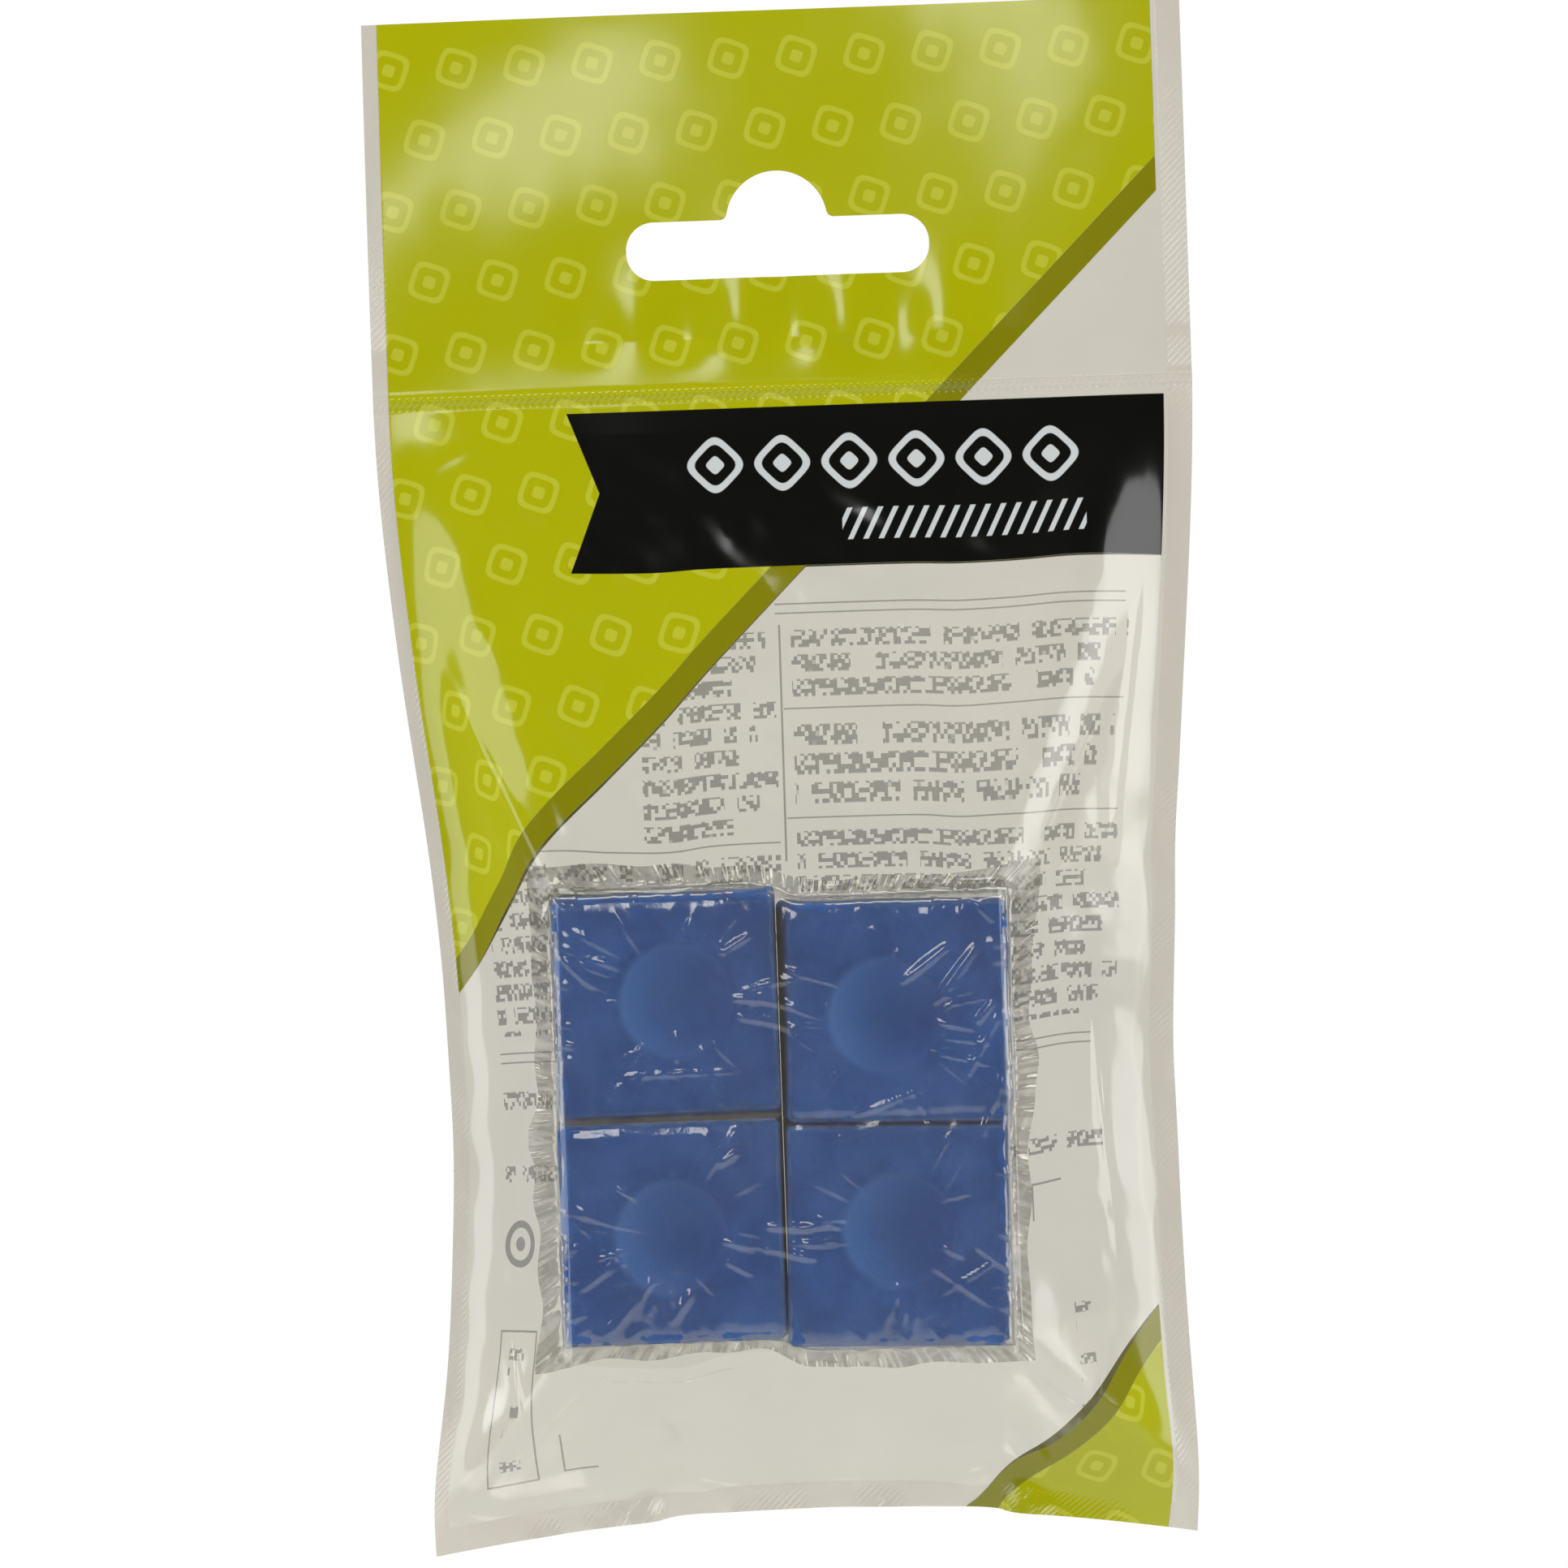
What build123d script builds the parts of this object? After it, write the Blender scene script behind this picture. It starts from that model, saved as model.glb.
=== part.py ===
"""Retail hang pack of four billiard chalk cubes.

Four pressed chalk cubes with a round dimple each are shrink-wrapped as a two by two block.
The block lies in a flat film pouch that hangs by a printed header with a domed hang slot.
X runs to the right, -Y is the front, +Z is up. The origin is the top of the slot's dome,
half way through the film, which is where a display peg carries the pack.
"""
from build123d import *
from math import cos, hypot, radians, sin, sqrt
import os

# Bag, as it would measure laid flat.
bag_width = 80.0
bag_height = 150.0
header_height = 38.0
film_wall = 0.3
side_seal_width = 1.6
bottom_seal_height = 2.6
crease_seal_height = 1.2
crease_gap = 0.5
sealed_flange = 0.8

# How the filled pouch pulls its own outline in from the flat one.
bottom_rise = 3.6
corner_draw = 2.0
film_bias = 0.9

# Hang slot: a bar with rounded ends and a round dome on its upper edge.
slot_drop = 20.4
slot_width = 29.6
slot_height = 5.7
slot_end_radius = 2.7
dome_radius = 4.95
dome_rise = 4.65
neck_fillet = 0.8

# Chalk cubes.
cube_edge = 21.4
cube_rounding = 0.7
dimple_diameter = 11.2
dimple_depth = 4.0
column_gap = 0.9
row_gap = 0.5

# Each cube: column and row side, shift right and up, clockwise turn, dimple shift right and up.
cube_seats = {
    "chalk_cube_top_left": (-1, 1, 0.42, 0.70, -0.6, 1.1, 0.2),
    "chalk_cube_top_right": (1, 1, 0.42, -0.82, 1.5, -1.1, -0.4),
    "chalk_cube_bottom_left": (-1, -1, 0.25, 0.49, -0.2, 0.1, -0.5),
    "chalk_cube_bottom_right": (1, -1, -0.25, -0.55, 1.5, 0.3, 0.5),
}

# Shrink wrap round the block, with its cut and sealed fringe.
wrap_wall = 0.15
wrap_clearance = 0.05
fringe_width = 2.0
ear_reach = 3.4
ear_lean = 1.7
ear_base = 7.5
ear_foot = 1.875

# Where the block lies in the pouch, the room under it, and how far it can be pushed up.
block_x = -2.6
bottom_room = 20.25
block_travel = 10.0
pouch_clearance = 0.3

# Heights of the main lines above the origin.
top_z = slot_drop - dome_rise
crease_z = top_z - header_height
corner_z = top_z - bag_height
middle_z = corner_z + bottom_rise
block_z = corner_z + bottom_room + cube_edge + row_gap / 2


def cube_centre(seat):
    """Centre of one cube, from the cube size, the gap on its side and its own small shift."""
    column, row, right, up = seat[:4]
    x = block_x + column * (cube_edge + column_gap) / 2 + right
    z = block_z + row * (cube_edge + row_gap) / 2 + up
    return x, z


def block_limits():
    """Left, right, bottom and top of the four cubes together, each with its own turn."""
    lefts, rights, bottoms, tops = [], [], [], []
    for seat in cube_seats.values():
        x, z = cube_centre(seat)
        turn = radians(abs(seat[4]))
        reach = cube_edge / 2 * (cos(turn) + sin(turn))
        lefts.append(x - reach)
        rights.append(x + reach)
        bottoms.append(z - reach)
        tops.append(z + reach)
    return min(lefts), max(rights), min(bottoms), max(tops)


block_left, block_right, block_bottom, block_top = block_limits()
block_half_depth = cube_edge / 2
wrap_grow = wrap_clearance + wrap_wall
pouch_grow = wrap_grow + pouch_clearance + film_wall
pouch_half_depth = block_half_depth + pouch_grow
flat_left = block_left - pouch_grow
flat_right = block_right + pouch_grow
flat_bottom = block_bottom - pouch_grow
flat_top = block_top + pouch_grow + block_travel


def side_reach(film):
    """How far a side panel reaches sideways when its film also climbs the pouch's half depth."""
    return sqrt(film**2 - pouch_half_depth**2)


waist_left = flat_left - side_reach(bag_width / 2 + flat_left + film_bias)
waist_right = flat_right + side_reach(bag_width / 2 - flat_right - film_bias)


def plate(profile, front, back):
    """Flat plate with a profile drawn in X and Z, from y = front to y = back."""
    return Pos(0, back, 0) * extrude(Plane.XZ * profile, back - front)


def outline(side, bottom, top):
    """The pouch's ten corners, clockwise from top left, moved in by the three amounts."""
    top_line = crease_z - crease_gap - top
    corner_x = bag_width / 2 - corner_draw
    right = [
        (bag_width / 2 - side, top_line),
        (waist_right - side, block_top),
        (waist_right - side, block_bottom),
        (corner_x - side, corner_z + bottom),
        (flat_right, middle_z + bottom),
    ]
    left = [
        (flat_left, middle_z + bottom),
        (-corner_x + side, corner_z + bottom),
        (waist_left + side, block_bottom),
        (waist_left + side, block_top),
        (-bag_width / 2 + side, top_line),
    ]
    return right + left


def polygon(points):
    """Flat face through a list of points in X and Z."""
    return make_face(Polyline(*points, close=True))


def tent(base, depth, inset):
    """Closed solid that rises from the base outline at y = 0 to a flat front at y = -depth.

    The flat front is the rectangle over the block's whole travel, moved in by inset.
    """
    rim = [Vector(x, 0, z) for x, z in base]
    corners = [
        (flat_right - inset, flat_top - inset),
        (flat_right - inset, flat_bottom + inset),
        (flat_left + inset, flat_bottom + inset),
        (flat_left + inset, flat_top - inset),
    ]
    tr, br, bl, tl = [Vector(x, -depth, z) for x, z in corners]
    panels = [
        rim,
        [tr, br, bl, tl],
        [rim[9], rim[0], tr, tl],
        [rim[0], rim[1], tr],
        [rim[1], rim[2], br, tr],
        [rim[2], rim[3], br],
        [rim[3], rim[4], br],
        [rim[4], rim[5], bl, br],
        [rim[5], rim[6], bl],
        [rim[6], rim[7], bl],
        [rim[7], rim[8], tl, bl],
        [rim[8], rim[9], tl],
    ]
    return Solid(Shell([Face(Wire.make_polygon(panel)) for panel in panels]))


def inset_for(run):
    """How far the foot of a slope of this run moves in, for one film wall across the slope."""
    return film_wall * hypot(run, pouch_half_depth) / pouch_half_depth


def pouch_film():
    """Front web of the pouch: a tent over the block with a flat flange out to its seals."""
    seal_line = outline(side_seal_width, bottom_seal_height, 0)
    foot = side_seal_width + sealed_flange
    outer_foot = outline(foot, bottom_seal_height + sealed_flange, sealed_flange)
    side = foot + inset_for(waist_right - foot - flat_right)
    bottom = bottom_seal_height + sealed_flange + inset_for(flat_bottom - middle_z)
    top = sealed_flange + inset_for(crease_z - flat_top)
    inner_foot = outline(side, bottom, top)
    outer = tent(outer_foot, pouch_half_depth, 0)
    inner = tent(inner_foot, pouch_half_depth - film_wall, film_wall / 2)
    flange = plate(polygon(seal_line) - polygon(inner_foot), -film_wall, 0)
    return outer - inner + (flange - inner)


def pouch_side_seal(right):
    """Welded band down one side of the pouch, following the drawn-in edge."""
    outer = outline(0, 0, 0)
    inner = outline(side_seal_width, bottom_seal_height, 0)
    band = outer[0:4] + inner[3::-1] if right else outer[6:10] + inner[9:5:-1]
    return plate(polygon(band), -film_wall, film_wall)


def bottom_seal():
    """Welded band along the bottom edge, bowed up under the block."""
    outer = outline(0, 0, 0)[3:7]
    inner = outline(side_seal_width, bottom_seal_height, 0)[6:2:-1]
    return plate(polygon(outer + inner), -film_wall, film_wall)


def hang_slot():
    """The slot's outline: bar, dome and the small fillets where they meet."""
    bar = Pos(0, -dome_rise - slot_height / 2) * RectangleRounded(slot_width, slot_height, slot_end_radius)
    slot = bar + Pos(0, -dome_radius) * Circle(dome_radius)
    neck = [v for v in slot.vertices() if v.Y > -dome_rise - neck_fillet and abs(v.X) < dome_radius]
    return fillet(neck, neck_fillet)


def header_film(front, back):
    """One web of the header above the crease seal, between the side seals, with the slot cut."""
    width = bag_width - 2 * side_seal_width
    bottom = crease_z + crease_seal_height
    sheet = Pos(0, (top_z + bottom) / 2) * Rectangle(width, top_z - bottom)
    return plate(sheet - hang_slot(), front, back)


def header_side_seal(side):
    """Welded band down one side of the header; side is -1 for left and 1 for right."""
    x = side * (bag_width - side_seal_width) / 2
    strip = Pos(x, (top_z + crease_z) / 2) * Rectangle(side_seal_width, header_height)
    return plate(strip, -film_wall, film_wall)


def crease_seal():
    """Welded band across the header's foot, above the line where the pack folds."""
    width = bag_width - 2 * side_seal_width
    strip = Pos(0, crease_z + crease_seal_height / 2) * Rectangle(width, crease_seal_height)
    return plate(strip, -film_wall, film_wall)


def chalk_cube(seat):
    """Pressed chalk cube with worn edges and a round dimple in its front."""
    x, z = cube_centre(seat)
    turn, dimple_right, dimple_up = seat[4:]
    cube = fillet(Box(cube_edge, cube_edge, cube_edge).edges(), cube_rounding)
    ball_radius = ((dimple_diameter / 2) ** 2 + dimple_depth**2) / (2 * dimple_depth)
    ball_y = -cube_edge / 2 + dimple_depth - ball_radius
    cube -= Pos(dimple_right, ball_y, dimple_up) * Sphere(ball_radius)
    return Pos(x, 0, z) * Rot(0, turn, 0) * cube


def block_rectangle(grow):
    """Rectangle round the block's front outline, grown on every side."""
    width = block_right - block_left + 2 * grow
    height = block_top - block_bottom + 2 * grow
    return Pos((block_left + block_right) / 2, (block_bottom + block_top) / 2) * Rectangle(width, height)


def wrap_half():
    """Front half of the shrink wrap: a thin tray over the cubes, open at y = 0."""
    outer = plate(block_rectangle(wrap_grow), -block_half_depth - wrap_grow, 0)
    inner = plate(block_rectangle(wrap_clearance), -block_half_depth - wrap_clearance, 0)
    return outer - inner


def wrap_ear(right, up):
    """Pointed corner of the fringe, left where the shrunk film was pulled together."""
    x = (block_right if right > 0 else block_left) + right * (wrap_grow + fringe_width / 2)
    z = (block_top if up > 0 else block_bottom) + up * (wrap_grow + fringe_width / 2)
    tip = (x + right * ear_lean, z + up * ear_reach)
    return polygon([(x, z - up * ear_foot), tip, (x - right * ear_base, z)])


def wrap_fringe():
    """Sealed and trimmed edge of the shrink wrap, a flat ring round the block with three ears."""
    ring = block_rectangle(wrap_grow + fringe_width)
    for right, up in ((1, 1), (-1, -1), (1, -1)):
        ring += wrap_ear(right, up)
    return plate(ring - block_rectangle(wrap_grow), -wrap_wall, wrap_wall)


def build_parts():
    """Every node's solid, by name."""
    parts = {
        "header_front_film": header_film(-film_wall, 0),
        "header_back_film": header_film(0, film_wall),
        "header_side_seal_left": header_side_seal(-1),
        "header_side_seal_right": header_side_seal(1),
        "crease_seal": crease_seal(),
        "pouch_front_film": pouch_film(),
        "pouch_back_film": mirror(pouch_film(), about=Plane.XZ),
        "pouch_side_seal_left": pouch_side_seal(right=False),
        "pouch_side_seal_right": pouch_side_seal(right=True),
        "bottom_seal": bottom_seal(),
        "shrink_wrap_front": wrap_half(),
        "shrink_wrap_back": mirror(wrap_half(), about=Plane.XZ),
        "shrink_wrap_fringe": wrap_fringe(),
    }
    for name, seat in cube_seats.items():
        parts[name] = chalk_cube(seat)
    return parts


os.makedirs("parts", exist_ok=True)
for node, solid in build_parts().items():
    export_step(solid, f"parts/{node}.step")
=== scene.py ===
import bpy
import numpy as np
from mathutils import Matrix, Vector
from math import radians


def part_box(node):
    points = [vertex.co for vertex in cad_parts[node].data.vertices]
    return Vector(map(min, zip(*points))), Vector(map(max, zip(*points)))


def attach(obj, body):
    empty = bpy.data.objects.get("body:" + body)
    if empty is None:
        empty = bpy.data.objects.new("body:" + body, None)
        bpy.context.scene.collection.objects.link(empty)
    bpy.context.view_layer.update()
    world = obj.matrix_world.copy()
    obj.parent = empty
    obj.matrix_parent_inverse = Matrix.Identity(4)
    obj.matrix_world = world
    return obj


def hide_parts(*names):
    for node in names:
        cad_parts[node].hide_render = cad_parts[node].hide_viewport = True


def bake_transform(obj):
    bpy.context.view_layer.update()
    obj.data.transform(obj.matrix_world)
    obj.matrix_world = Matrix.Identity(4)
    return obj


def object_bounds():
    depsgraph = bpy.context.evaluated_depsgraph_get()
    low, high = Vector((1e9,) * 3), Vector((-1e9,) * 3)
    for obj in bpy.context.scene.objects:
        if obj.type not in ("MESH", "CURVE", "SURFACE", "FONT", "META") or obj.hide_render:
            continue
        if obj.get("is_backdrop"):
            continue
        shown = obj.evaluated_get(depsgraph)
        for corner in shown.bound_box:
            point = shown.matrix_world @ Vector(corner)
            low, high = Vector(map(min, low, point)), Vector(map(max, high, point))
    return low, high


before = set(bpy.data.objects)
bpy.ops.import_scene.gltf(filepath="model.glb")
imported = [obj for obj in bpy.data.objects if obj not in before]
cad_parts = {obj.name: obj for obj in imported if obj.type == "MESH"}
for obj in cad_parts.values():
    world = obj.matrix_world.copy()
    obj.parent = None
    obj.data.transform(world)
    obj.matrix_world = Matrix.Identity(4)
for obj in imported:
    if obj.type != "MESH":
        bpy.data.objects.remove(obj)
cad_low, cad_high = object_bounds()
MM = 0.001

# ---------------------------------------------------------------------------------------------
# Camera. The pack hangs straight in front of a long lens, square to its printed face.
# It hangs two degrees out of true, as a pack does on a peg, so the camera is rolled by that.
view_centre = Vector((-1.2, 0, -59.9)) * MM
camera_distance = 0.9
framed_width = 153.1 * MM
sensor = 36
hang_tilt = 2.0

camera = bpy.data.objects.new("camera", bpy.data.cameras.new("camera"))
bpy.context.scene.collection.objects.link(camera)
camera.data.sensor_width = sensor
camera.data.lens = sensor * camera_distance / framed_width
camera.data.clip_start = 0.01
turn = Matrix.Rotation(radians(90), 4, "X") @ Matrix.Rotation(radians(-hang_tilt), 4, "Z")
camera.matrix_world = Matrix.Translation(view_centre - Vector((0, camera_distance, 0))) @ turn
bpy.context.scene.camera = camera


# ---------------------------------------------------------------------------------------------
# Studio. A pale round floor lies well under the hanging pack and fades into a white backdrop.
# Soft boxes stand all round. The room on the camera's side is dark, which keeps the print deep,
# and the wall behind is bright, which lights the film's edges.
class Shade:
    """One socket of a material's node tree. Arithmetic on it adds Math nodes."""

    def __init__(self, tree, socket=None):
        self.tree = tree
        self.socket = socket

    def node(self, kind, settings=None, inputs=None, output=0):
        """Adds a node: its settings first, then values or links for its sockets."""
        made = self.tree.nodes.new(kind)
        for name, value in (settings or {}).items():
            setattr(made, name, value)
        for name, value in (inputs or {}).items():
            if isinstance(value, Shade):
                self.tree.links.new(value.socket, made.inputs[name])
            else:
                made.inputs[name].default_value = value
        return Shade(self.tree, made.outputs[output])

    def math(self, operation, *terms):
        return self.node("ShaderNodeMath", {"operation": operation}, dict(enumerate(terms)))

    def __add__(self, other):
        return self.math("ADD", self, other)

    def __sub__(self, other):
        return self.math("SUBTRACT", self, other)

    def __rsub__(self, other):
        return self.math("SUBTRACT", other, self)

    def __mul__(self, other):
        return self.math("MULTIPLY", self, other)

    def __truediv__(self, other):
        return self.math("DIVIDE", self, other)

    __radd__ = __add__
    __rmul__ = __mul__

    def larger(self, other):
        return self.math("MAXIMUM", self, other)

    def size(self):
        return self.math("ABSOLUTE", self)

    def floored(self):
        return self.math("FLOOR", self)

    def turned_over(self, span):
        """What is left over after whole spans, from 0 to span."""
        return self.math("FLOORED_MODULO", self, span)

    def wave(self):
        return self.math("SINE", self)

    def power(self, exponent):
        return self.math("POWER", self, exponent)

    def rise(self, low, high):
        """0 below low, 1 above high and smooth between them."""
        settings = {"interpolation_type": "SMOOTHSTEP"}
        return self.node("ShaderNodeMapRange", settings, {"Value": self, "From Min": low, "From Max": high})

    def between(self, low, high, soft):
        """1 where the value lies between low and high, with soft edges."""
        return self.rise(low - soft, low + soft) * (1 - self.rise(high - soft, high + soft))

    def mix(self, first, second):
        """Colour that goes from first to second as this value goes from 0 to 1."""
        sockets = {"Factor": self, 6: first, 7: second}
        return self.node("ShaderNodeMix", {"data_type": "RGBA"}, sockets, 2)


def colour(red, green, blue):
    """Linear colour with full alpha from the 0 to 255 numbers of a paint chart, by the sRGB curve."""
    chart = np.array([red, green, blue]) / 255
    linear = np.where(chart <= 0.04045, chart / 12.92, ((chart + 0.055) / 1.055) ** 2.4)
    return (*[float(value) for value in linear], 1.0)


def material(name):
    """New empty material and a Shade that adds nodes to it."""
    made = bpy.data.materials.new(name)
    made.use_nodes = True
    made.node_tree.nodes.clear()
    return made, Shade(made.node_tree)


def output(shade, surface, kind="ShaderNodeOutputMaterial"):
    """Ends a node tree with its surface."""
    made = shade.tree.nodes.new(kind)
    shade.tree.links.new(surface.socket, made.inputs["Surface"])


floor_drop = 65 * MM
floor_radius = 1.2
floor_rings, floor_spokes = 24, 96
floor_fade = 0.25, 0.75
pale_floor = colour(238, 238, 236)
backdrop_glow = 1.0
room_level, wall_level, behind_level = 0.05, 0.45, 0.75
room_edge, behind_edge = (0.55, 0.97), (0.3, 0.9)
mirrored_wall = 0.4
soft_boxes = {
    "left_box": ((-0.75, -0.42, 0.12), (0.6, 0.8), 3.7),
    "right_box": ((0.85, -0.55, 0.2), (0.6, 0.7), 4.0),
    "top_box": ((0.05, -0.35, 0.85), (0.6, 0.35), 3.2),
    "front_box": ((-0.12, -0.95, 0.2), (0.16, 0.16), 0.35),
    "rear_left_box": ((-0.9, 0.42, 0.3), (0.5, 0.5), 3.4),
    "rear_right_box": ((0.95, 0.4, 0.2), (0.4, 0.5), 3.0),
}


def floor_disc():
    """Flat disc of rings: radius grows evenly to floor_radius, angle goes once round."""
    ring, spoke = np.meshgrid(np.linspace(0.001, floor_radius, floor_rings),
                              np.linspace(0, 2 * np.pi, floor_spokes, endpoint=False), indexing="ij")
    height = cad_low.z - floor_drop
    points = np.stack([ring * np.cos(spoke), ring * np.sin(spoke), np.full(ring.shape, height)], -1)
    number = np.arange(floor_rings * floor_spokes).reshape(floor_rings, floor_spokes)
    near, far = number[:-1], number[1:]
    quads = np.stack([near, far, np.roll(far, -1, 1), np.roll(near, -1, 1)], -1).reshape(-1, 4)
    mesh = bpy.data.meshes.new("floor")
    mesh.from_pydata(points.reshape(-1, 3), [], quads.tolist())
    return mesh


floor = bpy.data.objects.new("floor", floor_disc())
bpy.context.scene.collection.objects.link(floor)
paint, shade = material("pale_floor")
place = shade.node("ShaderNodeTexCoord", output=3)
reach = shade.node("ShaderNodeVectorMath", {"operation": "LENGTH"}, {0: place}, 1)
matt = shade.node("ShaderNodeBsdfPrincipled", inputs={"Base Color": pale_floor, "Roughness": 0.85})
clear = shade.node("ShaderNodeBsdfTransparent")
output(shade, shade.node("ShaderNodeMixShader", inputs={0: reach.rise(*floor_fade), 1: matt, 2: clear}))
floor.data.materials.append(paint)
floor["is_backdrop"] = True

world = bpy.data.worlds.new("studio")
bpy.context.scene.world = world
world.use_nodes = True
world.node_tree.nodes.clear()
shade = Shade(world.node_tree)
direction = shade.node("ShaderNodeTexCoord", output=0)
back = shade.node("ShaderNodeSeparateXYZ", inputs={0: direction}, output=1)
seen, glossy = [shade.node("ShaderNodeLightPath", output=which) for which in (0, 3)]
wall = wall_level * (1 - glossy * (1 - mirrored_wall))
level = (back * -1).rise(*room_edge) * (room_level - wall) + wall
level = level + back.rise(*behind_edge) * (behind_level - wall)
strength = seen * backdrop_glow + (1 - seen) * level
glow = shade.node("ShaderNodeBackground", inputs={"Color": (1, 1, 1, 1), "Strength": strength})
output(shade, glow, "ShaderNodeOutputWorld")

for name, (where, size, power) in soft_boxes.items():
    light = bpy.data.objects.new(name, bpy.data.lights.new(name, "AREA"))
    light.data.shape = "RECTANGLE"
    light.data.size, light.data.size_y = size
    light.data.energy = power
    light.location = Vector(where) + view_centre
    light.rotation_euler = (view_centre - light.location).to_track_quat("-Z", "Y").to_euler()
    bpy.context.scene.collection.objects.link(light)
bpy.context.scene.view_settings.view_transform = "Standard"


# ---------------------------------------------------------------------------------------------
# Chalk cubes. Each is silica and blue dye pressed hard in a steel die, with a round dimple
# in its front for the cue tip. Corners and edges crumble a little and show lighter.
edge_round = 0.8
dimple_radius, dimple_depth, dimple_lip = 5.6, 4.0, 0.35
dimple_reach = 1.45
cube_cells, edge_crowding = 84, 2.35
crumble_depth, crumble_sizes = 0.45, (2.2, 6)
grain_height, grain_size, wear_size = 0.02, 1.3, 3
flare_from, flare_over = 0.9, 0.5
touching = 0.04
# Each cube's lean in degrees, and how far its dimple is right of and above the middle.
cube_turns = {
    "chalk_cube_top_left": (-0.6, 1.1, 0.2),
    "chalk_cube_top_right": (1.5, -1.1, -0.4),
    "chalk_cube_bottom_left": (-0.2, 0.1, -0.5),
    "chalk_cube_bottom_right": (1.5, 0.3, 0.5),
}
cube_boxes = np.array([[list(corner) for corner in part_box(node)] for node in cube_turns]) / MM
meeting = (cube_boxes[[0, 2], 1].mean(0) + cube_boxes[[1, 3], 0].mean(0)) / 2
meeting[2] = (cube_boxes[:2, 0, 2].mean() + cube_boxes[2:, 1, 2].mean()) / 2


def waves(points, size, seed, count=24):
    """Smooth noise from -1 to 1: a sum of sine waves of about the given size, in any direction."""
    draw = np.random.default_rng(seed)
    total = np.zeros(points.shape[:-1])
    for _ in range(count):
        heading = draw.normal(size=points.shape[-1])
        heading *= 2 * np.pi / size * draw.uniform(0.6, 1.5) / np.linalg.norm(heading)
        total += np.sin(points @ heading + draw.uniform(0, 2 * np.pi))
    return np.clip(total / (1.44 * count**0.5), -1, 1)


def quads_of(rows, columns, first=0):
    """Corner numbers of every cell of a grid, row by row, turned so that down x right faces out."""
    number = first + np.arange(rows * columns).reshape(rows, columns)
    return np.stack([number[:-1, :-1], number[1:, :-1], number[1:, 1:], number[:-1, 1:]], -1).reshape(-1, 4)


def piece_from(name, points, quads):
    """Mesh object of smooth quads, from points in millimetres."""
    mesh = bpy.data.meshes.new(name)
    mesh.vertices.add(len(points))
    mesh.vertices.foreach_set("co", (points * MM).astype(np.float32).ravel())
    mesh.loops.add(quads.size)
    mesh.loops.foreach_set("vertex_index", quads.astype(np.int32).ravel())
    mesh.polygons.add(len(quads))
    mesh.polygons.foreach_set("loop_start", np.arange(0, quads.size, 4, dtype=np.int32))
    mesh.update(calc_edges=True)
    mesh.shade_smooth()
    made = bpy.data.objects.new(name, mesh)
    bpy.context.scene.collection.objects.link(made)
    return made


def merged(points, quads, close=1e-4):
    """Points that coincide become one, so that the six faces of a cube join into one skin."""
    key = np.round(points / close).astype(np.int64)
    _, first, back = np.unique(key, axis=0, return_index=True, return_inverse=True)
    return points[first], back.reshape(-1)[quads]


def pressed_cube(edge, dimple_x, dimple_z, inward, seed):
    """Rounded cube with a dimple. Six square grids lie on the faces; each point is drawn to
    the inner cube that is smaller by the edge round, then pushed out from it by that round,
    less a crumble that grows towards edges. The front sinks by the depth of a ball. The dimple
    is coloured as lighter pressed chalk plus painted light, lightest on its left and top side.
    The two sides that face the other cubes flare until they touch."""
    half = edge / 2
    spread = np.sin(np.linspace(-1, 1, cube_cells + 1) * np.pi / edge_crowding)
    a, b = np.meshgrid(spread / spread[-1], spread / spread[-1], indexing="ij")
    one = np.ones_like(a)
    sides = [(a, -one, -b), (b, one, -a), (-one, -b, a), (one, -a, b), (a, b, one), (b, a, -one)]
    grids = [np.stack(side, -1).reshape(-1, 3) * half for side in sides]
    cells = [quads_of(cube_cells + 1, cube_cells + 1, k * len(grids[0])) for k in range(6)]
    points, quads = merged(np.concatenate(grids), np.concatenate(cells))
    core = np.clip(points, -half + edge_round, half - edge_round)
    away = points - core
    away /= np.linalg.norm(away, axis=1, keepdims=True)
    nearness = np.sort(np.abs(points), axis=1)[:, 1] / half
    edge_share = np.clip((nearness - 0.93) / 0.07, 0, 1) ** 2
    fine, broad = (waves(points, size, seed + k) for k, size in enumerate(crumble_sizes))
    crumble = crumble_depth * edge_share * np.clip(fine + broad, 0, 1)
    grain = grain_height * waves(points, grain_size, seed + 2)
    shaped = core + away * (edge_round - crumble + grain)[:, None]
    ball = (dimple_radius**2 + dimple_depth**2) / (2 * dimple_depth)
    aside, above = (points[:, 0] - dimple_x) / dimple_radius, (points[:, 2] - dimple_z) / dimple_radius
    out = np.hypot(points[:, 0] - dimple_x, points[:, 2] - dimple_z)
    sink = np.sqrt(np.clip(ball**2 - out**2, 0, None)) - (ball - dimple_depth)
    sink = (sink + np.sqrt(sink**2 + dimple_lip**2)) / 2
    sink -= dimple_lip / 2 * np.exp(-((out / dimple_radius) ** 8))
    front = (points[:, 1] < -half + 1e-6) & (out < dimple_reach * dimple_radius)
    shaped[:, 1] += np.where(front, sink, 0)
    flare = np.clip((shaped[:, 1] / half + flare_from) / flare_over, 0, 1)[:, None] ** 0.7 * (
        np.clip(shaped[:, [0, 2]] * inward / half, 0, 1) ** 10)
    worn = edge_share * (0.6 + 0.6 * waves(points, wear_size, seed + 3))
    wear = np.clip(worn + crumble / crumble_depth, 0, 1)
    # Dimple share: lighter pressed chalk over the whole dimple, times painted light that is strongest on its
    # left and top and fades to the right.
    pressed_and_painted_light = np.where(front, np.clip(1.06 - out / dimple_radius, 0, 0.1) / 0.1, 0)
    pressed_and_painted_light *= np.clip(0.5 - 0.55 * aside + 0.15 * above, 0, 1)
    return shaped, quads, flare, wear, pressed_and_painted_light


def keep_attribute(piece, name, values):
    """Stores one number per point for the material to read."""
    layer = piece.data.attributes.new(name, "FLOAT", "POINT")
    layer.data.foreach_set("value", values.astype(np.float32))


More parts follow.
